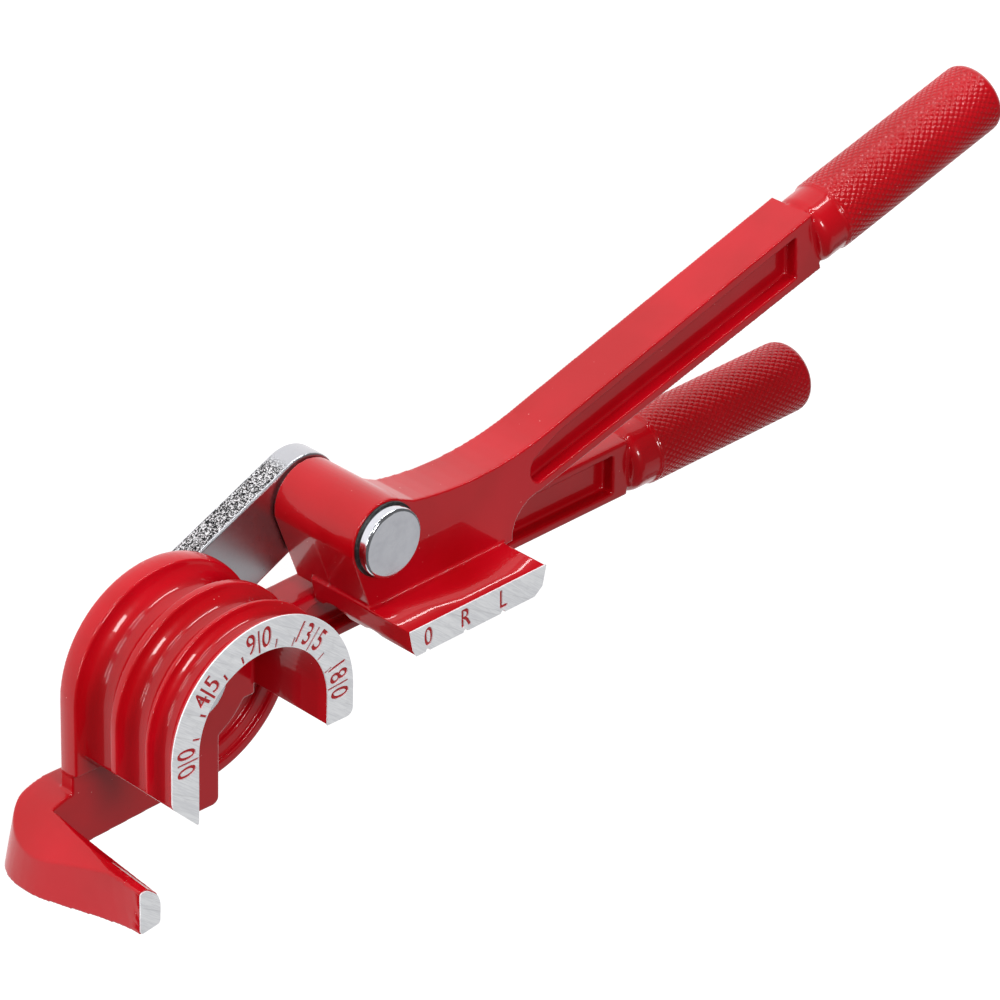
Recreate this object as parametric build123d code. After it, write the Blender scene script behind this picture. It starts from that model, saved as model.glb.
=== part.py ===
# Hand tube bender for 6, 8 and 10 mm tube, lying on its back.
# +Z is the hinge direction and points to the machined scale face, +X runs towards the grips,
# +Y is the side the upper handle opens to. The origin is on the bend axis, in the back plane
# of the lower casting.
import os
from math import cos, radians, sin, tan

from build123d import *

os.makedirs("parts", exist_ok=True)

# tubes and the bending form
tube_dias = (10.0, 8.0, 6.0)        # from the flange to the scale face
groove_lands = (1.8, 1.0, 1.0)      # flat ridge in front of each groove
ridge_radius = 22.5                 # bend radius, to the tube's middle
wall_behind = 6.5                   # from the ridges to the inside of the form
flange_extra = 0.4                  # how far the back flange stands over the ridges
flange_back = 5.6
left_leg = 8.9                      # straight run past the half circle, outer edge
left_tip = 6.3                      # how much longer its inner edge is
right_leg = 6.3
leg_corner = 1.6

# castings
bar_thick = 9.0                     # lower casting, across the hinge direction
flange_rise = 1.2                   # flange face above the casting's front
link_recess = 3.6                   # cut into the back of the lower casting for the link
edge_round = 0.7
rim_wide = 2.1                      # edge left round the side pockets
pocket_deep = 3.0

# lower casting
belly_radius = 24.8
belly_x = 9.0
belly_y = -5.6
belly_rim = 2.6
belly_steps = 3                     # ledges going down from the rim
belly_step_wide = 3.0
belly_step_deep = 1.0
rib_wide = 7.5
rib_bottom = -30.0
web_height = 7.8                    # web inside the form, above the casting's front
web_bottom = -9.0
form_overlap = 0.5
arm_floor = [(0.0, -30.4), (-20.0, -31.6), (-30.0, -33.0), (-37.0, -34.5)]
arm_roof = [
    (-37.0, -29.0), (-33.5, -25.2), (-31.0, -22.9), (-28.5, -21.2), (-25.0, -19.7), (-20.0, -19.0), (0.0, -18.6)]
# outer side of the elbow and the finger, as X and Z
elbow = [
    (-31.3, 0.0), (-33.6, 1.6), (-35.3, 4.6), (-36.1, 8.6), (-36.0, 13.0), (-35.1, 17.4), (-33.2, 24.5), (-30.4, 38.0)]
elbow_lean = 3.9                    # how far the elbow's side leans in, from the arm's floor to its roof
finger_inside = [(-25.6, 38.0), (-27.4, 9.0)]
root_cut = [(-38.0, -20.0), (-29.5, -20.0), (-28.0, -20.3), (-27.2, -20.7), (-27.0, -17.0), (-38.0, -17.0)]
tip_cut = [(-33.0, -24.0), (-28.6, -24.0), (-26.2, -25.9), (-25.3, -28.5), (-25.0, -17.0), (-33.0, -17.0)]
lower_angle = 2.2                   # lower handle against the scale's base line
lower_start_y = -6.7
neck_half = 5.9
lower_end_half = 6.5
lower_pocket_start = 35.8
lower_bar_end = 126.0
lower_grip_long = 53.5

# grips
grip_dia = 15.8                     # over the knurl
collar_dia = 15.0
collar_long = 7.0
grip_round = 2.4

# link and pivots
link_long = 45.7
link_angle = 25.7
link_thick = 5.8
link_wide_form = 18.4
link_wide_handle = 17.6
link_edge = 0.6
link_clear = 1.5                    # round the link in its recess
link_swing_low = 0.0               # from the drawn pose, degrees
pin_dia = 8.0
head_dia = 14.6
head_high = 2.2
head_edge = 0.7
collar_ring_dia = 15.6
collar_ring_high = 0.6
washer_dia = 14.0
thrust_thick = 0.5
washer_thick = 0.8
clip_thick = 1.0
clip_dia = 11.6
clip_groove_deep = 0.6
clip_groove_spare = 0.1
tail_long = 1.3
running_gap = 0.05                  # beside a turning face
bore_gap = 0.05                     # radial, where the link turns on a pin

# upper casting
handle_tilt = 2.2
upper_pocket_start = 47.3
pocket_end_top = 5.0                # wall left at the pocket's far end, along its two edges
pocket_end_low = 7.0
pocket_end_drop = 1.6
pocket_high = 5.8                   # near end of the pocket
pocket_bulge = 2.6
web_thick = 11.2
web_front = 26.0
hub_radius = 8.3
hub_right = 7.0
hub_top_angle = 75.0                # where the neck's top leaves the hub
hub_left_angle = 188.0
hub_foot_left = -2.7
hub_bottom = -16.8
shoe_drop = 19.85                   # pivot to the shoe's working face
shoe_thick = 6.0
shoe_left = -4.6
shoe_right = 31.8
shoe_back_clear = 0.6               # in front of the lower casting
shoe_back_extra = 3.0
shoe_end_slope = 1.6
mark_pitch = 10.0
mark_count = 3
notch_radius = 0.5
upper_grip_angle = 14.3
upper_grip_x = 120.0
upper_grip_y = 20.8
upper_grip_long = 56.0
grip_overlap = 0.5                  # bar runs this far into the grip
shoulder_top = 1.2                  # bar's top below the grip's
shoulder_low = -0.7                 # bar's underside below the grip's
grip_height = 21.5

# worked out from the sizes above
flange_z = bar_thick + flange_rise
form_front = flange_z + sum(tube_dias) + sum(groove_lands)
form_inside = ridge_radius - wall_behind
link_front = link_recess - running_gap - thrust_thick
link_back = link_front - link_thick
pivot_x = link_long * cos(radians(link_angle))
pivot_y = link_long * sin(radians(link_angle))
pin_radius = pin_dia / 2
web_z = bar_thick + web_height
web_back = web_front - web_thick
shoe_back = bar_thick + shoe_back_clear
groove_radius = pin_radius - clip_groove_deep


def groove_middles():
    """Height of each tube's middle above the back plane, with its radius."""
    z = flange_z
    middles = []
    for dia, land in zip(tube_dias, groove_lands):
        middles.append((z + dia / 2, dia / 2))
        z += dia + land
    return middles


def polygon(points):
    return make_face(Polyline(*points, close=True))


def block(x0, x1, y0, y1, z0, z1):
    return Pos((x0 + x1) / 2, (y0 + y1) / 2, (z0 + z1) / 2) * Box(x1 - x0, y1 - y0, z1 - z0)


def rod(radius, z0, z1, x=0.0, y=0.0):
    return Pos(x, y, (z0 + z1) / 2) * Cylinder(radius, z1 - z0)


def plate(face, z0, z1):
    return Pos(0, 0, z0) * extrude(face, amount=z1 - z0, dir=(0, 0, 1))


def rounded(solid, radius, right=1000.0):
    """Round the edges in the solid's top and bottom face, up to a limit along X."""
    faces = solid.faces().sort_by(Axis.Z)
    edges = faces[-1].edges() + faces[0].edges()
    return fillet([edge for edge in edges if (edge @ 0.5).X < right], radius)


def groove_edge(side):
    """Outer side of the form's section, from the scale face down to the flange."""
    x = side * ridge_radius
    z = form_front
    lines = []
    for (middle, radius), land in zip(reversed(groove_middles()), reversed(groove_lands)):
        lines.append(Line((x, z), (x, z - land)))
        z -= land
        lines.append(ThreePointArc((x, z), (x - side * radius, middle), (x, z - 2 * radius)))
        z -= 2 * radius
    return lines


def form_section(side):
    x = side * ridge_radius
    wide = x + side * flange_extra
    inside = side * form_inside
    crown = (flange_z + flange_back) / 2
    lines = groove_edge(side)
    lines.append(ThreePointArc((x, flange_z), (wide, crown), (x, flange_back)))
    lines.append(Line((x, flange_back), (inside, flange_back)))
    lines.append(Line((inside, flange_back), (inside, form_front)))
    lines.append(Line((inside, form_front), (x, form_front)))
    return Plane.XZ * make_face(lines)


def bending_form():
    arch = revolve(form_section(1), Axis.Z, 180)
    right = extrude(form_section(1), amount=right_leg, dir=(0, -1, 0))
    left = extrude(form_section(-1), amount=left_leg + left_tip, dir=(0, -1, 0))
    outer = -ridge_radius - flange_extra
    slope = left_tip / wall_behind
    y_outer = -left_leg + slope * flange_extra
    low = -left_leg - left_tip
    wedge = polygon([(outer - 1, y_outer + slope), (outer - 1, low - 1), (-form_inside, low - 1),
                     (-form_inside, low)])
    left -= plate(wedge, flange_z, form_front + 1)
    corner = ridge_radius - leg_corner
    cut = block(corner, ridge_radius + 1, -right_leg - 1, -right_leg + leg_corner, flange_z, form_front + 1)
    cut -= rod(leg_corner, flange_z, form_front + 1, corner, -right_leg + leg_corner)
    return arch + left + right - cut


def lower_axis(x, y):
    """A point of the straight lower handle in the object's frame."""
    a = radians(lower_angle)
    return (x * cos(a) - y * sin(a), lower_start_y + x * sin(a) + y * cos(a))


def lower_pocket(z0, z1):
    """Side pocket of the lower bar, round beside the form and square at the grip."""
    half = neck_half - rim_wide
    corner = lower_bar_end - 2 * rim_wide
    slot = plate(polygon([
        lower_axis(lower_pocket_start, half),
        lower_axis(lower_pocket_start, -half),
        lower_axis(corner, rim_wide - lower_end_half),
        lower_axis(corner, lower_end_half - rim_wide),
    ]), z0, z1)
    return fillet(slot.edges().filter_by(Axis.Z).sort_by(Axis.X)[:2], half - 0.1)


def grip(long):
    """Smooth collar with a rounded shoulder, then the thicker part that carries the knurl."""
    collar = Rot(0, 90, 0) * rod(collar_dia / 2, 0, collar_long)
    collar = fillet(collar.edges().sort_by(Axis.X)[0], grip_round)
    body = Rot(0, 90, 0) * rod(grip_dia / 2, collar_long, long)
    return collar + fillet(body.edges().sort_by(Axis.X)[-1], grip_round)


def placed_grip(long, x, y, z, angle):
    return Pos(x, y, z) * Rot(0, 0, angle) * grip(long)


def section_at(points, z):
    return Plane.XY.offset(z) * polygon(points)


def arm_outline(y, lean):
    """The arm and finger seen from above at one height, the elbow's side moved in by the lean."""
    side = [(x + lean * (1 - z / form_front), y, z) for x, z in elbow]
    rest = [(x, y, z) for x, z in finger_inside] + [(0, y, bar_thick), (0, y, 0)]
    return make_face([Spline(*side), Polyline(side[-1], *rest, side[0])])


def arm_and_finger():
    """Arm with a sloping roof, and the hook finger that tapers to a machined tip."""
    low = arm_floor[-1][1]
    high = arm_roof[-1][1]
    body = loft([arm_outline(low, 0), arm_outline(high, elbow_lean)], ruled=True)
    roof = make_face([Spline(*arm_roof), Polyline(arm_roof[-1], *arm_floor, arm_roof[0])])
    body &= extrude(roof, form_front)
    body -= loft([section_at(root_cut, bar_thick), section_at(tip_cut, form_front)], ruled=True)
    return body


def link_sweep():
    """Room behind the lower casting for the link, over its whole swing."""
    low = -link_wide_form / 2 - link_clear
    a = radians(link_angle + link_swing_low - link_clear)
    reach = 2 * link_long
    turn = (-low * sin(a), low * cos(a))
    return plate(polygon([
        (-reach, low),
        (-low * tan(a / 2), low),
        turn,
        (turn[0] + reach * cos(a), turn[1] + reach * sin(a)),
        (-reach, reach),
    ]), -1, link_recess)


def rib():
    body = block(0, rib_wide, rib_bottom, 0, 0, web_z)
    return fillet(body.edges().filter_by(Axis.Z).sort_by(Axis.Y)[:2], leg_corner)


def belly_and_bar():
    """Round body with a stepped dish under the form, cut off level with the bar's top edge."""
    start = lower_axis(0, neck_half)
    end = lower_axis(lower_bar_end, lower_end_half)
    above = polygon([start, end, (end[0], ridge_radius + end[1]), (0, ridge_radius + end[1])])
    bar = polygon([start, lower_axis(0, -neck_half), lower_axis(lower_bar_end, -lower_end_half), end])
    outline = Pos(belly_x, belly_y) * Circle(belly_radius) - above + bar
    body = rounded(plate(outline.face(), 0, bar_thick), edge_round, end[0] - 1)
    for n in range(belly_steps):
        radius = belly_radius - belly_rim - n * belly_step_wide
        floor = bar_thick - (n + 1) * belly_step_deep
        ledge = rod(radius, floor, bar_thick + 1, belly_x, belly_y)
        ledge &= block(0, 2 * belly_radius, belly_y - belly_radius, web_bottom, floor, bar_thick + 1)
        body -= ledge
    body -= lower_pocket(bar_thick - pocket_deep, bar_thick + 1)
    return body - lower_pocket(-1, pocket_deep)


def lower_handle():
    body = belly_and_bar()
    body += rod(ridge_radius, flange_back, bar_thick)
    body += block(-ridge_radius, 0, arm_floor[0][1] / 1.2, 0, flange_back, bar_thick)
    body += arm_and_finger()
    body += rod(form_inside + form_overlap, 0, web_z)
    body += block(-form_inside - form_overlap, form_inside + form_overlap, web_bottom, 0, 0, web_z)
    body += rib()
    body -= link_sweep()
    body += bending_form()
    body += placed_grip(lower_grip_long, *lower_axis(lower_bar_end, 0), bar_thick / 2, lower_angle)
    body -= rod(pin_radius, -1, form_front)
    return body


def at_pivot(shape):
    return Pos(pivot_x, pivot_y, 0) * Rot(0, 0, handle_tilt) * shape


def hub_point(angle):
    return (hub_radius * cos(radians(angle)), hub_radius * sin(radians(angle)))


def neck_outline(inset):
    """Side view of the neck and bar, seen from the scale side, pivot at the origin."""
    top = [(8.0, 5.3), (25.5, 3.6 - inset), (47.3, 7.2 - inset)]
    a = radians(upper_grip_angle)
    rise = grip_dia / 2 - shoulder_top - inset
    fall = grip_dia / 2 + shoulder_low - inset
    start_x = upper_grip_x + grip_overlap * cos(a)
    start_y = upper_grip_y + grip_overlap * sin(a)
    end_top = (start_x - rise * sin(a), start_y + rise * cos(a))
    end_low = (start_x + fall * sin(a), start_y - fall * cos(a))
    low = [(42.0, -6.4 + inset), (36.3, -9.0)]
    foot = (34.3, -shoe_drop + shoe_thick)
    return top, end_top, end_low, low, foot


def upper_web():
    top, end_top, end_low, low, foot = neck_outline(0)
    left_low = (-3.6, -shoe_drop + shoe_thick - 1)
    outline = make_face([
        ThreePointArc(*top),
        Line(top[2], end_top),
        Line(end_top, end_low),
        Line(end_low, low[0]),
        ThreePointArc(*low, foot),
        Line(foot, (foot[0], left_low[1])),
        Line((foot[0], left_low[1]), left_low),
        Line(left_low, hub_point(hub_left_angle)),
        ThreePointArc(hub_point(hub_left_angle), hub_point(135), hub_point(hub_top_angle)),
        Line(hub_point(hub_top_angle), top[0]),
    ])
    return plate(outline, web_back, web_front)


def upper_pocket():
    top, end_top, end_low, low, foot = neck_outline(rim_wide)
    start = (upper_pocket_start, top[2][1])
    far_top = (end_top[0] - pocket_end_top, end_top[1] - pocket_end_drop)
    far_low = (end_low[0] - pocket_end_low, end_low[1] - pocket_end_drop)
    near = (low[0][0] - pocket_end_drop, low[0][1] + pocket_high)
    outline = make_face([
        Line(start, far_top),
        Line(far_top, far_low),
        Line(far_low, low[0]),
        ThreePointArc(low[0], (low[0][0] - pocket_bulge, low[0][1] + pocket_high / 2 - edge_round), near),
        Line(near, start),
    ])
    return plate(outline, web_front - pocket_deep, web_front + 1) + plate(
        outline, web_back - 1, web_back + pocket_deep)


def hub():
    """Boss round the pin, from the link to the web, with a flat left side."""
    corner = (hub_right, (hub_radius ** 2 - hub_right ** 2) ** 0.5)
    left_low = (hub_foot_left, hub_bottom)
    outline = make_face([
        Line(corner, (hub_right, hub_bottom)),
        Line((hub_right, hub_bottom), left_low),
        Line(left_low, hub_point(hub_left_angle)),
        ThreePointArc(hub_point(hub_left_angle), hub_point(110), corner),
    ])
    return plate(outline, link_recess, web_front)


def shoe():
    top = -shoe_drop + shoe_thick
    outline = polygon([
        (shoe_left, top),
        (shoe_left + shoe_end_slope / 2, -shoe_drop + shoe_end_slope),
        (shoe_left + shoe_end_slope, -shoe_drop),
        (shoe_right - 2 * shoe_end_slope, -shoe_drop),
        (shoe_right - shoe_end_slope / 1.5, -shoe_drop + shoe_end_slope),
        (shoe_right, top),
    ])
    body = plate(outline, shoe_back, form_front)
    body += block(shoe_left + 1, shoe_right - 2, top - 1, top + shoe_back_extra, shoe_back, web_back + 1)
    return body


def shoe_channels():
    """Grooves for the tube under the shoe, and the notches at its marks."""
    tube_drop = link_long - ridge_radius
    cuts = []
    for z, radius in groove_middles():
        if radius > tube_drop - shoe_drop:
            cuts.append(Pos(0, -tube_drop, z) * Rot(0, 90, 0) * Cylinder(radius, 4 * shoe_right))
    for n in range(mark_count):
        cuts.append(rod(notch_radius, form_front - 1, form_front + 1, n * mark_pitch, -shoe_drop))
    return cuts


def upper_handle():
    body = upper_web() - upper_pocket() + hub() + shoe()
    body += placed_grip(upper_grip_long, upper_grip_x, upper_grip_y, grip_height, upper_grip_angle)
    for cut in shoe_channels():
        body -= cut
    body -= rod(pin_radius, 0, form_front)
    return at_pivot(body)


def link_bar():
    """Flat bar, round at both ends and slimmer at the handle's pivot."""
    big = link_wide_form / 2
    small = link_wide_handle / 2
    lean = (big - small) / link_long
    rise = (1 - lean * lean) ** 0.5
    start = (big * lean, big * rise)
    end = (link_long + small * lean, small * rise)
    outline = make_face([
        Line(start, end),
        ThreePointArc(end, (link_long + small, 0), (end[0], -end[1])),
        Line((end[0], -end[1]), (start[0], -start[1])),
        ThreePointArc((start[0], -start[1]), (-big, 0), start),
    ])
    bar = rounded(plate(outline, link_back, link_front), link_edge)
    for x in (0, link_long):
        bar -= rod(pin_radius + bore_gap, link_back - 1, link_front + 1, x)
    return Rot(0, 0, link_angle) * bar


def pin(seat):
    """Headed pin whose head sits at height seat, with a clip groove behind the link."""
    clip_front = link_back - running_gap - washer_thick
    tail = clip_front - clip_thick - clip_groove_spare - tail_long
    head = rod(head_dia / 2, seat, seat + head_high)
    head = fillet(head.edges().group_by(Axis.Z)[-1], head_edge)
    shank = rod(pin_radius, tail, seat)
    shank = chamfer(shank.edges().group_by(Axis.Z)[0], head_edge / 2)
    groove = rod(pin_radius + 1, clip_front - clip_thick - clip_groove_spare, clip_front)
    groove -= rod(groove_radius, tail - 1, clip_front + 1)
    return head + shank - groove


def ring(outer, inner, z0, z1):
    return rod(outer, z0, z1) - rod(inner, z0 - 1, z1 + 1)


def collar_ring(z0):
    """Black ring that the head of a pin sits in."""
    body = ring(collar_ring_dia / 2, pin_radius, z0, z0 + collar_ring_high)
    return fillet(body.edges().group_by(Axis.Z)[-1].sort_by(SortBy.RADIUS)[-1], head_edge / 2)


def thrust_washer():
    return ring(washer_dia / 2, pin_radius + bore_gap, link_front, link_front + thrust_thick)


def rear_washer():
    z1 = link_back - running_gap
    return ring(washer_dia / 2, pin_radius, z1 - washer_thick, z1)


def clip():
    """Retaining ring, open at one side."""
    z1 = link_back - running_gap - washer_thick
    body = ring(clip_dia / 2, groove_radius + running_gap, z1 - clip_thick, z1)
    return body - block(0, clip_dia, -groove_radius / 2, groove_radius / 2, z1 - 2, z1 + 1)


def at_handle_pivot(shape):
    return Pos(pivot_x, pivot_y, 0) * shape


ring_seat = web_z
upper_seat = web_front

pieces = {
    "lower_handle": lower_handle(),
    "upper_handle": upper_handle(),
    "link_bar": link_bar(),
    "form_pin": pin(ring_seat + collar_ring_high),
    "handle_pin": at_handle_pivot(pin(upper_seat + collar_ring_high)),
    "form_pin_collar": collar_ring(ring_seat),
    "handle_pin_collar": at_handle_pivot(collar_ring(upper_seat)),
    "form_thrust_washer": thrust_washer(),
    "handle_thrust_washer": at_handle_pivot(thrust_washer()),
    "form_rear_washer": rear_washer(),
    "handle_rear_washer": at_handle_pivot(rear_washer()),
    "form_pin_clip": clip(),
    "handle_pin_clip": at_handle_pivot(clip()),
}

for name, piece in pieces.items():
    export_step(piece, f"parts/{name}.step")
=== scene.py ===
from math import atan2, cos, hypot, pi, radians, sin

import bmesh
import bpy
import numpy as np
from mathutils import Matrix, Vector
from mathutils.geometry import interpolate_bezier


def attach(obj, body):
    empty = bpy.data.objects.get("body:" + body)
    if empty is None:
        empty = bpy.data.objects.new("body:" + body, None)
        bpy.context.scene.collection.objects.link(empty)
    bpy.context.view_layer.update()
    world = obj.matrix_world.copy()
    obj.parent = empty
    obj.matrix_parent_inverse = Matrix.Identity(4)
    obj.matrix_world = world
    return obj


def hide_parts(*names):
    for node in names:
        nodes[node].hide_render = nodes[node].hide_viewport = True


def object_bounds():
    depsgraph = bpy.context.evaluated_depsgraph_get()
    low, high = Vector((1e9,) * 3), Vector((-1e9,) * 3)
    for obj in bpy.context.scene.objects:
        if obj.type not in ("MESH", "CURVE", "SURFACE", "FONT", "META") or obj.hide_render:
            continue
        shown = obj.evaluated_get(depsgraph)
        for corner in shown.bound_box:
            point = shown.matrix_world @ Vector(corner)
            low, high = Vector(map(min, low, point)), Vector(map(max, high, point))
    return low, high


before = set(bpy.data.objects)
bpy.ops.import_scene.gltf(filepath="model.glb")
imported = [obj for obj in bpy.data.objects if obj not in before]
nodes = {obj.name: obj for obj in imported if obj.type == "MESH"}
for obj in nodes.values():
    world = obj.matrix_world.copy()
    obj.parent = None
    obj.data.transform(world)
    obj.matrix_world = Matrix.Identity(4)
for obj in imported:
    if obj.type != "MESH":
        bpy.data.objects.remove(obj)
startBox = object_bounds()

mm = 0.001
scene = bpy.context.scene

# sizes of the tool that the looks are built on, in millimetres
tool = {"face": 38.0, "plate": 0.3, "ridge": 22.5, "inside": 16.0, "pivot": (41.179, 19.818), "tilt": 2.2}


class Sock:
    # a shader socket that can be used in ordinary sums
    def __init__(self, shader, out):
        self.shader = shader
        self.out = out

    def maths(self, operation, *values):
        return self.shader.node("ShaderNodeMath", {"operation": operation}, list(values))

    def __add__(self, other):
        return self.maths("ADD", self, other)

    def __radd__(self, other):
        return self.maths("ADD", other, self)

    def __sub__(self, other):
        return self.maths("SUBTRACT", self, other)

    def __rsub__(self, other):
        return self.maths("SUBTRACT", other, self)

    def __mul__(self, other):
        return self.maths("MULTIPLY", self, other)

    def __rmul__(self, other):
        return self.maths("MULTIPLY", other, self)

    def step(self, low, high):
        # 0 below low, 1 above high, smooth between
        settings = {"interpolation_type": "SMOOTHSTEP"}
        return self.shader.node("ShaderNodeMapRange", settings, [self, low, high, 0.0, 1.0])

    def part(self, axis):
        return self.shader.node("ShaderNodeSeparateXYZ", {}, [self], axis)

    def abs(self):
        return self.maths("ABSOLUTE", self)


class Shader:
    # one material with its nodes
    def __init__(self, name, **fixed):
        self.mat = bpy.data.materials.new(name)
        self.mat.use_nodes = True
        self.tree = self.mat.node_tree
        self.main = self.tree.nodes["Principled BSDF"]
        for socket, value in fixed.items():
            self.main.inputs[socket.replace("_", " ")].default_value = value
        self.place = Sock(self, self.tree.nodes.new("ShaderNodeTexCoord").outputs["Object"])
        self.facing = Sock(self, self.tree.nodes.new("ShaderNodeNewGeometry").outputs["Normal"])

    def join(self, value, socket):
        if isinstance(value, Sock):
            self.tree.links.new(value.out, socket)
        elif value is not None:
            socket.default_value = value

    def node(self, kind, settings, inputs, output=0):
        made = self.tree.nodes.new(kind)
        for key, value in settings.items():
            setattr(made, key, value)
        for key, value in inputs.items() if isinstance(inputs, dict) else enumerate(inputs):
            self.join(value, made.inputs[key])
        return Sock(self, made.outputs[output])

    def noise(self, scale, detail=2.0, rough=0.5, at=None):
        return self.node("ShaderNodeTexNoise", {}, {
            "Vector": at or self.place, "Scale": scale, "Detail": detail, "Roughness": rough})

    def spots(self, scale):
        return self.node("ShaderNodeTexVoronoi", {}, {"Vector": self.place, "Scale": scale})

    def mix(self, factor, one, two):
        made = self.tree.nodes.new("ShaderNodeMix")
        made.data_type = "RGBA"
        for key, value in ((0, factor), (6, one), (7, two)):
            self.join(value, made.inputs[key])
        return Sock(self, made.outputs[2])

    def stretched(self, times, turn):
        # places for a noise that is drawn out sideways, then turned about the upright axis
        return self.node("ShaderNodeMapping", {"vector_type": "TEXTURE"}, {
            "Vector": self.place, "Rotation": (0.0, 0.0, turn), "Scale": (times, 1.0, 1.0)})

    def bump(self, height, strength, distance, under=None):
        return self.node("ShaderNodeBump", {}, {
            "Height": height, "Strength": strength, "Distance": distance, "Normal": under})

    def feed(self, **links):
        for socket, value in links.items():
            self.join(value, self.main.inputs[socket.replace("_", " ")])
        return self.mat


def tint(red, green, blue):
    return (red, green, blue, 1.0)


redPaint = {
    "deep": tint(0.40, 0.0005, 0.004), "lit": tint(0.49, 0.001, 0.008), "cloudScale": 45.0,
    "peelScale": 1500.0, "peel": 0.06, "lumpScale": 220.0, "lump": 0.05,
    "dust": tint(0.85, 0.42, 0.38), "dustScale": 520.0, "dustSize": (0.035, 0.07), "dustShow": 0.7,
    "patchScale": 160.0, "patch": (0.56, 0.62), "dustRise": 0.25,
}


def paintMaterial():
    # thick gloss paint in two close reds, with specks of dust set in patches
    shader = Shader("redPaint", Roughness=0.32, Coat_Weight=0.6, Coat_Roughness=0.06, Coat_IOR=1.45,
                    Specular_IOR_Level=0.12)
    cloud = shader.noise(redPaint["cloudScale"], 3.0)
    dust = 1.0 - shader.spots(redPaint["dustScale"]).step(*redPaint["dustSize"])
    patch = shader.noise(redPaint["patchScale"], 1.0).step(*redPaint["patch"])
    base = shader.mix(cloud.step(0.3, 0.7), redPaint["deep"], redPaint["lit"])
    base = shader.mix(dust * patch * redPaint["dustShow"], base, redPaint["dust"])
    lump = shader.bump(shader.noise(redPaint["lumpScale"], 2.0), redPaint["lump"], 0.4 * mm)
    peel = shader.bump(shader.noise(redPaint["peelScale"], 2.0), redPaint["peel"], 0.1 * mm, lump)
    peel = shader.bump(dust * patch, redPaint["dustRise"], 0.06 * mm, peel)
    return shader.feed(Base_Color=base, Roughness=0.28 + 0.1 * cloud, Normal=peel)


milled = {
    "light": tint(0.93, 0.94, 0.96), "dark": tint(0.78, 0.79, 0.82), "slant": radians(-38),
    "fineScale": 5200.0, "fineLong": 16.0, "broadScale": 900.0, "broadLong": 18.0,
    "stain": tint(0.6, 0.6, 0.62), "stainScale": 260.0, "stainShow": 0.2,
    "scratch": tint(0.45, 0.45, 0.47), "scratchScale": 1700.0, "scratchLong": 60.0,
    "scratchSlant": radians(-30), "scratchShow": 0.25,
}


def milledMaterial():
    # bare aluminium with fine slanting cutter lines, a few deeper scratches and stains
    shader = Shader("milledAluminium", Metallic=0.2, Roughness=0.4)
    lines = shader.noise(milled["fineScale"], 2.0, 0.6,
                         shader.stretched(milled["fineLong"], milled["slant"]))
    broad = shader.noise(milled["broadScale"], 2.0, 0.6,
                         shader.stretched(milled["broadLong"], milled["slant"]))
    stain = shader.noise(milled["stainScale"], 4.0, 0.6)
    streaks = shader.noise(milled["scratchScale"], 1.0, 0.5,
                           shader.stretched(milled["scratchLong"], milled["scratchSlant"]))
    scratch = 1.0 - streaks.step(0.30, 0.34)
    shade = (0.55 * lines + 0.45 * broad).step(0.38, 0.62)
    base = shader.mix(shade, milled["dark"], milled["light"])
    base = shader.mix(stain.step(0.56, 0.7) * milled["stainShow"], base, milled["stain"])
    base = shader.mix(scratch * milled["scratchShow"], base, milled["scratch"])
    return shader.feed(Base_Color=base, Roughness=0.34 + 0.2 * lines,
                       Normal=shader.bump(lines + 0.6 * broad, 0.25, 0.05 * mm))


markPaint = {"deep": tint(0.03, 0.0015, 0.003), "lit": tint(0.06, 0.003, 0.005), "patchScale": 900.0}


def markMaterial():
    # paint left in the stamped marks, matt and darker than the rest
    shader = Shader("markPaint", Roughness=0.55)
    patch = shader.noise(markPaint["patchScale"], 3.0)
    base = shader.mix(patch.step(0.35, 0.7), markPaint["deep"], markPaint["lit"])
    return shader.feed(Base_Color=base, Roughness=0.45 + 0.25 * patch,
                       Normal=shader.bump(patch, 0.3, 0.05 * mm))


linkLook = {
    "flat": tint(0.62, 0.63, 0.66), "flatDark": tint(0.46, 0.47, 0.50), "satinScale": 1800.0, "satin": 0.18,
    # the near-black pit colour is painted shade in the hollows of the torn edges
    "pitShade": tint(0.012, 0.012, 0.014), "peak": tint(0.88, 0.88, 0.90), "torn": 0.9,
    "gritScale": 3600.0, "coarseScale": 1900.0, "cloudScale": 70.0,
    "tearEnds": (-0.002, 0.003, -0.003, 0.001),     # metres from the near pin, then from the far one
}


def linkMaterial(angle, reach):
    # plated steel: satin flat faces, torn and pitted long edges with painted shade in the pits, smooth round
    # ends
    shader = Shader("platedSteel", Metallic=1.0, Roughness=0.3)
    along = shader.node("ShaderNodeVectorMath", {"operation": "DOT_PRODUCT"},
                        [shader.place, (cos(angle), sin(angle), 0.0)], 1)
    side = 1.0 - shader.facing.part(2).abs().step(0.12, 0.35)
    near, nearFull, farFull, far = linkLook["tearEnds"]
    middle = along.step(near, nearFull) * (1.0 - along.step(reach + farFull, reach + far))
    torn = side * middle
    grit = shader.noise(linkLook["gritScale"], 3.0, 0.65)
    coarse = shader.noise(linkLook["coarseScale"], 2.0, 0.6)
    pits = (0.6 * grit + 0.4 * coarse).step(0.47, 0.55)
    satin = shader.noise(linkLook["satinScale"], 3.0, 0.6)
    cloud = shader.noise(linkLook["cloudScale"], 3.0)
    flat = shader.mix(0.5 * satin + 0.5 * cloud, linkLook["flatDark"], linkLook["flat"])
    # hollows of the torn edges take the near-black colour as painted shade in the pits; the raised grit
    # takes the bright one
    rough = shader.mix(pits, linkLook["pitShade"], linkLook["peak"])
    bumps = shader.bump(satin, linkLook["satin"], 0.05 * mm)
    bumps = shader.bump(pits * torn, linkLook["torn"], 0.22 * mm, bumps)
    return shader.feed(Base_Color=shader.mix(torn, flat, rough),
                       Roughness=0.24 + 0.12 * satin + 0.12 * torn, Normal=bumps)


pinLook = {"clear": tint(0.70, 0.71, 0.76), "hazy": tint(0.62, 0.63, 0.68), "hazeScale": 300.0,
           "rippleScale": 170.0, "scuffScale": 2400.0}


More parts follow.
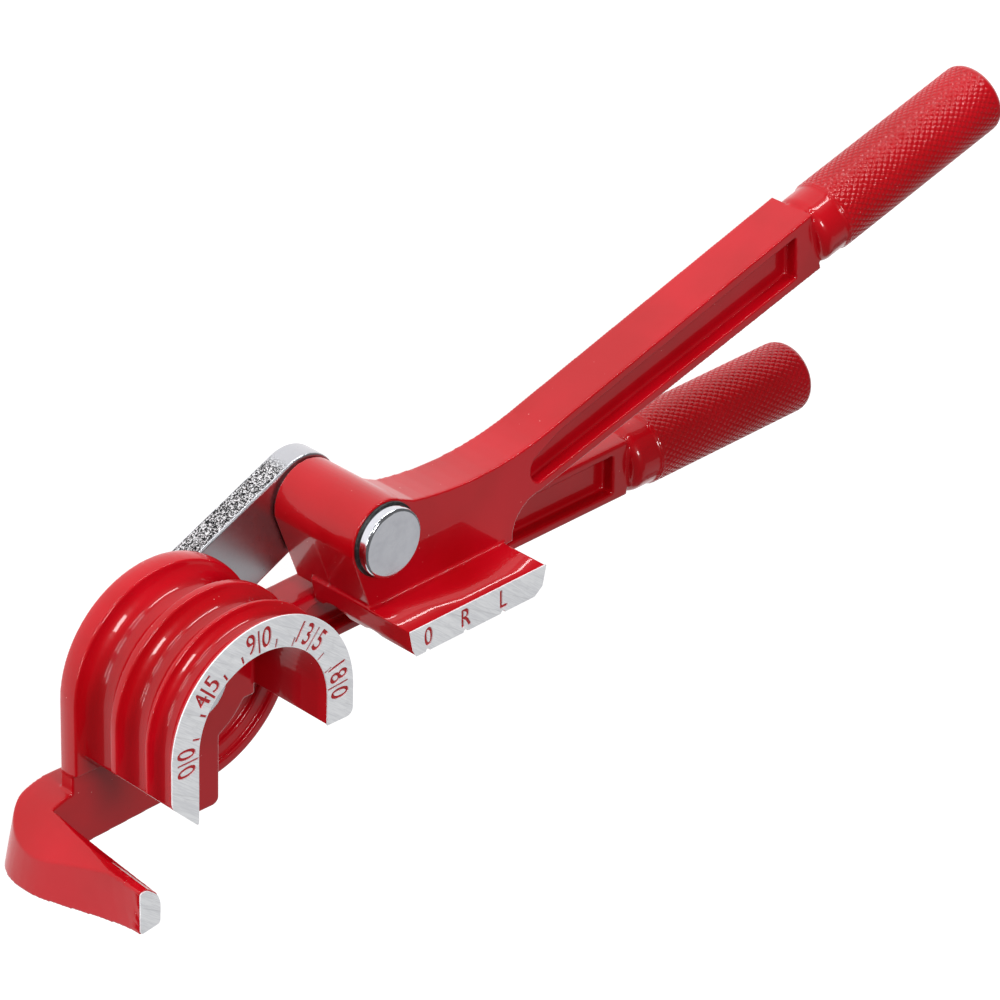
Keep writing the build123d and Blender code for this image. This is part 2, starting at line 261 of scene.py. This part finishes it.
def chromeMaterial():
    # bright pins with a thin haze and a slight ripple in the plating
    shader = Shader("pinChrome", Metallic=1.0, Roughness=0.1)
    haze = shader.noise(pinLook["hazeScale"], 4.0, 0.6)
    ripple = shader.noise(pinLook["rippleScale"], 2.0)
    scuff = shader.noise(pinLook["scuffScale"], 2.0, 0.6)
    base = shader.mix(haze.step(0.3, 0.8), pinLook["clear"], pinLook["hazy"])
    return shader.feed(Base_Color=base, Roughness=0.07 + 0.12 * haze,
                       Normal=shader.bump(ripple + 0.08 * scuff, 0.05, 0.5 * mm))


def smallSteel(name, one, two, rough):
    # turned or stamped steel of the washers and clips
    shader = Shader(name, Metallic=1.0)
    turned = shader.noise(2200.0, 3.0)
    return shader.feed(Base_Color=shader.mix(turned, one, two), Roughness=rough + 0.2 * turned,
                       Normal=shader.bump(turned, 0.2, 0.05 * mm))


ringLook = {"black": tint(0.006, 0.006, 0.007), "worn": tint(0.05, 0.05, 0.05), "scuffScale": 1500.0}


def ringMaterial():
    shader = Shader("blackRing", Roughness=0.4)
    scuff = shader.noise(ringLook["scuffScale"], 3.0)
    base = shader.mix(scuff.step(0.5, 0.75), ringLook["black"], ringLook["worn"])
    return shader.feed(Base_Color=base, Roughness=0.3 + 0.3 * scuff,
                       Normal=shader.bump(scuff, 0.2, 0.04 * mm))


paint = paintMaterial()
bare = milledMaterial()
marks = markMaterial()
chrome = chromeMaterial()
black = ringMaterial()
washer = smallSteel("washerSteel", tint(0.50, 0.50, 0.50), tint(0.68, 0.68, 0.67), 0.3)
clipSteel = smallSteel("clipSteel", tint(0.07, 0.07, 0.075), tint(0.16, 0.16, 0.17), 0.35)
print("materials made")


def addObject(name, mesh, materials, body):
    piece = bpy.data.objects.new(name, mesh)
    scene.collection.objects.link(piece)
    mesh.materials.clear()
    for material in materials:
        mesh.materials.append(material)
    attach(piece, body)
    return piece


def arc(radius, first, last, steps, centre=(0.0, 0.0)):
    made = []
    for n in range(steps + 1):
        a = radians(first + (last - first) * n / steps)
        made.append((centre[0] + radius * cos(a), centre[1] + radius * sin(a)))
    return made


# the painted castings: edges worn soft by sand, blasting and thick paint
casting = {"voxel": 0.26, "smooth": 8, "keep": 0.3, "weld": 0.004,
           "near": 0.05, "lift": 2.5, "gripShrink": 0.7, "gripShort": 1.0}
grips = {
    "lower": {"start": (125.907, -1.863, 4.5), "angle": 2.2, "long": 53.5},
    "upper": {"start": (160.290, 45.209, 21.5), "angle": 16.5, "long": 56.0},
}
# the lip is a list of places past the sleeve's start, each with the radius there
gripShape = {"radius": 7.9, "collar": 7.0, "overlap": 0.2, "lip": [(0.0, 7.3), (0.1, 7.5), (0.5, 7.9)],
             "round": 2.4, "roundSteps": 8, "teeth": 36, "pitch": 1.9, "deep": 0.32, "steep": 3.4,
             "fadeIn": (0.3, 1.5), "fadeOut": (1.32, 2.92), "step": 0.22}


def gripFrame(place):
    turn = Matrix.Rotation(radians(place["angle"]), 4, "Z")
    return Matrix.Translation(Vector(place["start"]) * mm) @ turn


def castingMesh(name, place):
    # the face is lifted before the smoothing and cut back to a sharp rim after it
    source = bmesh.new()
    source.from_mesh(nodes[name].data)
    bmesh.ops.remove_doubles(source, verts=source.verts, dist=casting["weld"] * mm)
    for vert in source.verts:
        if vert.co.z > (tool["face"] - casting["near"]) * mm:
            vert.co.z += casting["lift"] * mm
    mesh = bpy.data.meshes.new(name + "Cast")
    source.to_mesh(mesh)
    source.free()
    work = bpy.data.objects.new(name + "Work", mesh)
    scene.collection.objects.link(work)
    remesh = work.modifiers.new("remesh", "REMESH")
    remesh.mode = "VOXEL"
    remesh.voxel_size = casting["voxel"] * mm
    smooth = work.modifiers.new("smooth", "SMOOTH")
    smooth.factor = 0.5
    smooth.iterations = casting["smooth"]
    thin = work.modifiers.new("thin", "DECIMATE")
    thin.ratio = casting["keep"]
    soft = bpy.data.meshes.new_from_object(work.evaluated_get(bpy.context.evaluated_depsgraph_get()))
    bpy.data.objects.remove(work)
    bpy.data.meshes.remove(mesh)
    cut = bmesh.new()
    cut.from_mesh(soft)
    fromGrip = gripFrame(place)
    toGrip = fromGrip.inverted()
    slimmer = 1.0 - casting["gripShrink"] / gripShape["radius"]
    for vert in cut.verts:
        local = toGrip @ vert.co
        if local.x > (gripShape["collar"] + gripShape["overlap"]) * mm:
            # the casting stays under the knurled sleeve
            along = min(local.x, (place["long"] - casting["gripShort"]) * mm)
            vert.co = fromGrip @ Vector((along, local.y * slimmer, local.z * slimmer))
    level = (tool["face"] - tool["plate"]) * mm
    made = bmesh.ops.bisect_plane(cut, geom=cut.verts[:] + cut.edges[:] + cut.faces[:], dist=1e-7,
                                  plane_co=(0, 0, level), plane_no=(0, 0, 1), clear_outer=True)
    rim = [item for item in made["geom_cut"] if isinstance(item, bmesh.types.BMEdge)]
    caps = bmesh.ops.edgenet_fill(cut, edges=rim)
    for face in cut.faces:
        face.smooth = True
    for face in caps["faces"]:
        face.smooth = False
        face.material_index = 1
    cut.normal_update()
    cut.to_mesh(soft)
    cut.free()
    print(name, "casting", len(soft.polygons), "faces")
    return soft


def wave(value):
    # triangle wave, 1 at whole numbers and 0 halfway
    return np.abs(2.0 * (value - np.floor(value)) - 1.0)


def ramp(value, low, high):
    return min(max((value - low) / (high - low), 0.0), 1.0)


def sleeveRows(place):
    # places along the sleeve from its lip to its round end, each with the radius there
    radius, end, edge = gripShape["radius"], place["long"], gripShape["round"]
    start = gripShape["collar"] - gripShape["overlap"]
    rows = [(start + x, r) for x, r in gripShape["lip"]]
    first = rows[-1][0]
    straight = end - edge - first
    count = int(straight / gripShape["step"])
    for n in range(1, count + 1):
        rows.append((first + straight * n / count, radius))
    rows += arc(edge, 90, 0, gripShape["roundSteps"], (end - edge, radius - edge))[1:]
    rows.append((end, (radius - edge) * 0.5))
    return rows


def sleeveMesh(name, place):
    # knurled sleeve: two crossing sets of spiral grooves under thick paint
    rows = sleeveRows(place)
    start, end = rows[0][0], place["long"]
    around = int(2 * pi * gripShape["radius"] / gripShape["step"])
    turn = np.arange(around) / around
    angle = 2 * pi * turn
    points = []
    for x, r in rows:
        mask = ramp(x - start, *gripShape["fadeIn"]) * ramp(end - x, *gripShape["fadeOut"])
        one = wave(turn * gripShape["teeth"] + x / gripShape["pitch"])
        two = wave(turn * gripShape["teeth"] - x / gripShape["pitch"])
        ridge = np.minimum(1.0, gripShape["steep"] * np.minimum(one, two))
        ridge = ridge * ridge * (3 - 2 * ridge)
        rim = r - gripShape["deep"] * mask * (1.0 - ridge)
        points.append(np.stack([np.full(around, x), rim * np.cos(angle), rim * np.sin(angle)], 1))
    verts = np.concatenate(points + [np.array([[end, 0.0, 0.0]])])
    faces = []
    for i in range(len(rows) - 1):
        for j in range(around):
            k = (j + 1) % around
            faces.append((i * around + j, i * around + k, (i + 1) * around + k, (i + 1) * around + j))
    last = (len(rows) - 1) * around
    for j in range(around):
        faces.append((last + j, last + (j + 1) % around, len(verts) - 1))
    mesh = bpy.data.meshes.new(name)
    mesh.from_pydata((verts * mm).tolist(), [], faces)
    mesh.transform(gripFrame(place))
    mesh.shade_smooth()
    mesh.update()
    return mesh


for half, grip in grips.items():
    handle = half + "_handle"
    cast = addObject(half + "Casting", castingMesh(handle, grip), [paint, marks], handle)
    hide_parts(handle)
    addObject(half + "Knurl", sleeveMesh(half + "Knurl", grip), [paint], handle)


# machined faces with the stamped scale: flat plates with the marks cut through to the paint
letters = {"tall": 4.3, "slim": 0.78, "radius": 19.1, "gap": 1.9, "pairGap": 0.85, "bold": 0.12,
           "curveSteps": 6}
# long and short are how far a tick runs past the plate's inner edge
ticks = {"inset": 0.12, "long": 5.2, "short": 2.0, "wide": 0.5,
         "shortAt": (167.0, 151.0, 123.5, 108.0, 80.0, 65.0, 34.0, 20.0)}
# each long tick's angle, with the figures on its left and right
scale = [(181.0, "0", "0"), (137.5, "4", "5"), (94.0, "9", "0"), (49.5, "13", "5"), (5.0, "18", "0")]


def turnOf(loop):
    # signed area, positive when the loop runs anticlockwise
    return sum(a[0] * b[1] - a[1] * b[0] for a, b in zip(loop, loop[1:] + loop[:1])) / 2


def swollen(loop, by):
    # every point moved sideways, which thickens the strokes of a figure
    made = []
    for n, (x, y) in enumerate(loop):
        before, after = loop[n - 1], loop[(n + 1) % len(loop)]
        run = Vector((after[0] - before[0], after[1] - before[1])).normalized()
        made.append((x + by * run.y, y - by * run.x))
    return made


def glyphLoops(text, tall, slim):
    # outlines of a word, centred on the origin, as lists of points
    data = bpy.data.curves.new("glyph", "FONT")
    data.body = text
    holder = bpy.data.objects.new("glyph", data)
    scene.collection.objects.link(holder)
    curve = holder.to_curve(bpy.context.evaluated_depsgraph_get())
    loops = []
    for spline in curve.splines:
        knots = spline.bezier_points
        loop = []
        for n in range(len(knots)):
            a, b = knots[n], knots[(n + 1) % len(knots)]
            run = interpolate_bezier(a.co, a.handle_right, b.handle_left, b.co, letters["curveSteps"] + 1)
            loop += [p.to_2d() for p in run[:-1]]
        loops.append(loop)
    holder.to_curve_clear()
    bpy.data.objects.remove(holder)
    flat = [p for loop in loops for p in loop]
    low = Vector((min(p.x for p in flat), min(p.y for p in flat)))
    high = Vector((max(p.x for p in flat), max(p.y for p in flat)))
    size = tall / (high.y - low.y)
    middle = (low + high) / 2
    loops = [[((p.x - middle.x) * size * slim, (p.y - middle.y) * size) for p in loop] for loop in loops]
    side = 1 if max((turnOf(loop) for loop in loops), key=abs) > 0 else -1
    return [swollen(loop, side * letters["bold"]) for loop in loops]


def turned(loop, angle, shift):
    c, s = cos(angle), sin(angle)
    return [(shift[0] + x * c - y * s, shift[1] + x * s + y * c) for x, y in loop]


cornerPoints = 5    # on every softened corner


def softCorners(points, radius):
    made = []
    for n, here in enumerate(points):
        before, after = Vector(points[n - 1]), Vector(points[(n + 1) % len(points)])
        here = Vector(here)
        one = here + (before - here).normalized() * min(radius, (before - here).length / 3)
        two = here + (after - here).normalized() * min(radius, (after - here).length / 3)
        for k in range(cornerPoints):
            t = k / (cornerPoints - 1)
            made.append(tuple(one * (1 - t) ** 2 + here * 2 * t * (1 - t) + two * t ** 2))
    return made


def plateMesh(name, loops):
    data = bpy.data.curves.new(name, "CURVE")
    data.dimensions = "2D"
    data.fill_mode = "BOTH"
    data.extrude = tool["plate"] / 2 * mm
    for loop in loops:
        spline = data.splines.new("POLY")
        spline.points.add(len(loop) - 1)
        for point, (x, y) in zip(spline.points, loop):
            point.co = (x * mm, y * mm, 0.0, 1.0)
        spline.use_cyclic_u = True
    holder = bpy.data.objects.new(name, data)
    scene.collection.objects.link(holder)
    mesh = bpy.data.meshes.new_from_object(holder.evaluated_get(bpy.context.evaluated_depsgraph_get()))
    bpy.data.objects.remove(holder)
    mesh.transform(Matrix.Translation((0, 0, (tool["face"] - tool["plate"] / 2) * mm)))
    for face in mesh.polygons:
        face.material_index = 0 if face.normal.z > 0.5 else 1
        face.use_smooth = False
    return mesh


def tickLoop(angle, reach):
    first, last, half = tool["inside"] + ticks["inset"], tool["inside"] + reach, ticks["wide"] / 2
    return turned([(first, half), (last, half), (last, -half), (first, -half)], radians(angle), (0.0, 0.0))


# the heights are where the band ends below the form's axis
scaleFace = {"leftOuter": -8.9, "leftInner": -15.2, "leftStraight": -3.0, "leftRound": 1.0,
             "right": -6.3, "rightRound": 1.6}


def scalePlate():
    ridge, inside = tool["ridge"], tool["inside"]
    straight, bottom, corner = scaleFace["leftStraight"], scaleFace["right"], scaleFace["rightRound"]
    leftEnd = [(-ridge, straight), (-ridge, scaleFace["leftOuter"]),
               (-inside, scaleFace["leftInner"]), (-inside, straight)]
    outline = arc(ridge, 0, 180, 90)
    outline += softCorners(leftEnd, scaleFace["leftRound"])[cornerPoints:-cornerPoints]
    outline += arc(inside, 180, 0, 72)
    outline += [(inside, bottom)] + arc(corner, -90, 0, 8, (ridge - corner, bottom + corner))
    loops = [outline]
    for angle, first, second in scale:
        loops.append(tickLoop(angle, ticks["long"]))
        for word, side in ((first, 1), (second, -1)):
            spread = letters["gap"] + (letters["pairGap"] if len(word) > 1 else 0.0)
            at = angle + side * spread / letters["radius"] * 180 / pi
            place = (letters["radius"] * cos(radians(at)), letters["radius"] * sin(radians(at)))
            for loop in glyphLoops(word, letters["tall"], letters["slim"]):
                loops.append(turned(loop, radians(at - 90), place))
    for angle in ticks["shortAt"]:
        loops.append(tickLoop(angle, ticks["short"]))
    return plateMesh("scalePlate", loops)


fingerFace = {"corner": 0.8, "points": [(-30.4, -33.1), (-25.6, -32.4), (-25.5, -27.9),
                                        (-26.2, -25.9), (-28.6, -24.0), (-30.4, -24.0)]}


def fingerPlate():
    return plateMesh("fingerPlate", [softCorners(fingerFace["points"], fingerFace["corner"])])


shoeFace = {"drop": 19.85, "thick": 6.0, "left": -4.6, "right": 31.8, "slope": 1.6, "notch": 0.55,
            "marks": "0RL", "pitch": 10.0, "tall": 3.9, "slim": 0.8, "rise": 3.2, "shift": 0.2}


def shoePlate():
    # drawn level about the shoe's pin, then tilted with the closed upper handle
    low, top, slope = -shoeFace["drop"], shoeFace["thick"] - shoeFace["drop"], shoeFace["slope"]
    left, right = shoeFace["left"], shoeFace["right"]
    outline = [(left, top), (left + slope / 2, low + slope), (left + slope, low)]
    for n in range(len(shoeFace["marks"])):
        outline += arc(shoeFace["notch"], 180, 0, 8, (n * shoeFace["pitch"], low))
    outline += [(right - 2 * slope, low), (right - slope / 1.5, low + slope), (right, top)]
    loops = [outline]
    for n, word in enumerate(shoeFace["marks"]):
        for loop in glyphLoops(word, shoeFace["tall"], shoeFace["slim"]):
            shift = (n * shoeFace["pitch"] + shoeFace["shift"], low + shoeFace["rise"])
            loops.append(turned(loop, 0.0, shift))
    loops = [turned(loop, radians(tool["tilt"]), tool["pivot"]) for loop in loops]
    return plateMesh("shoePlate", loops)


for name, mesh, body in (
        ("scaleFace", scalePlate(), "lower_handle"),
        ("fingerFace", fingerPlate(), "lower_handle"),
        ("shoeFacePlate", shoePlate(), "upper_handle")):
    addObject(name, mesh, [bare, paint], body)
print("machined faces made")

# pieces that keep their own mesh
linkTurn = atan2(tool["pivot"][1], tool["pivot"][0])
plated = linkMaterial(linkTurn, hypot(*tool["pivot"]) * mm)
finishes = {"link_bar": plated, "pin": chrome, "collar": black, "washer": washer, "clip": clipSteel}
for name, node in nodes.items():
    for ending, finish in finishes.items():
        if name.endswith(ending):
            for slot in node.material_slots:
                slot.material = finish
print("small pieces finished")


cameraSet = {"place": (-0.51138, 0.46972, 0.61058), "right": (0.71859, 0.02794, 0.69535),
             "up": (0.31682, 0.87651, -0.36244), "back": (-0.61966, 0.48065, 0.62058), "lens": 173.626}


def addCamera():
    data = bpy.data.cameras.new("camera")
    data.lens = cameraSet["lens"]
    data.sensor_width = 36.0
    data.clip_start, data.clip_end = 0.05, 20.0
    holder = bpy.data.objects.new("camera", data)
    scene.collection.objects.link(holder)
    turn = Matrix([cameraSet["right"], cameraSet["up"], cameraSet["back"]]).transposed()
    holder.matrix_world = Matrix.Translation(cameraSet["place"]) @ turn.to_4x4()
    scene.camera = holder


def streak(*start):
    # a thin strip that draws one bright line along a groove or rim
    return {"from": start, "size": (0.42, 0.022), "power": 1.1}


lamps = {
    "key": {"from": (-0.3, 0.5, 1.1), "size": (0.3, 0.3), "power": 7.5},
    "overGrips": {"from": (0.32, 1.0, 0.22), "size": (0.8, 0.07), "power": 4.4},
    "topLow": streak(-0.45, 1.05, 0.12),
    "topHigh": streak(-0.4, 1.05, 0.38),
    "middleLow": streak(-0.95, 0.7, 0.12),
    "middleHigh": streak(-0.9, 0.75, 0.38),
    "leftLow": streak(-1.2, 0.15, 0.12),
    "leftHigh": streak(-1.2, 0.2, 0.38),
    "right": {"from": (0.75, -0.75, 0.75), "size": (0.8, 0.8), "power": 0.9},
}
aim = Vector((0.06, 0.01, 0.02))


def addLamp(name, setting):
    data = bpy.data.lights.new(name, "AREA")
    data.shape = "RECTANGLE"
    data.size, data.size_y = setting["size"]
    data.energy = setting["power"]
    lamp = bpy.data.objects.new(name, data)
    scene.collection.objects.link(lamp)
    lamp.location = aim + Vector(setting["from"])
    lamp.rotation_mode = "QUATERNION"
    lamp.rotation_quaternion = (aim - lamp.location).to_track_quat("-Z", "Y")


studio = {"sky": tint(1.0, 1.0, 1.0), "strength": 0.15, "floorGlow": 0.97,
          "floorTint": tint(0.25, 0.25, 0.25), "floorHalf": 4.0, "floorDrop": 0.3}


def addStudio():
    world = bpy.data.worlds.new("studio")
    scene.world = world
    world.use_nodes = True
    back = world.node_tree.nodes["Background"].inputs
    back[0].default_value = studio["sky"]
    back[1].default_value = studio["strength"]
    scene.view_settings.view_transform = "Standard"
    mesh = bpy.data.meshes.new("floor")
    height = startBox[0].z - studio["floorDrop"] * mm
    half = studio["floorHalf"]
    corners = [(x, y, height) for x, y in ((-half, -half), (half, -half), (half, half), (-half, half))]
    mesh.from_pydata(corners, [], [(0, 1, 2, 3)])
    shader = Shader("paleFloor", Roughness=0.9, Base_Color=studio["floorTint"], Emission_Color=tint(1, 1, 1),
                    Emission_Strength=studio["floorGlow"])
    mesh.materials.append(shader.mat)
    floor = bpy.data.objects.new("floor", mesh)
    scene.collection.objects.link(floor)


addCamera()
for lampName, setting in lamps.items():
    addLamp(lampName, setting)
addStudio()
print("studio made")
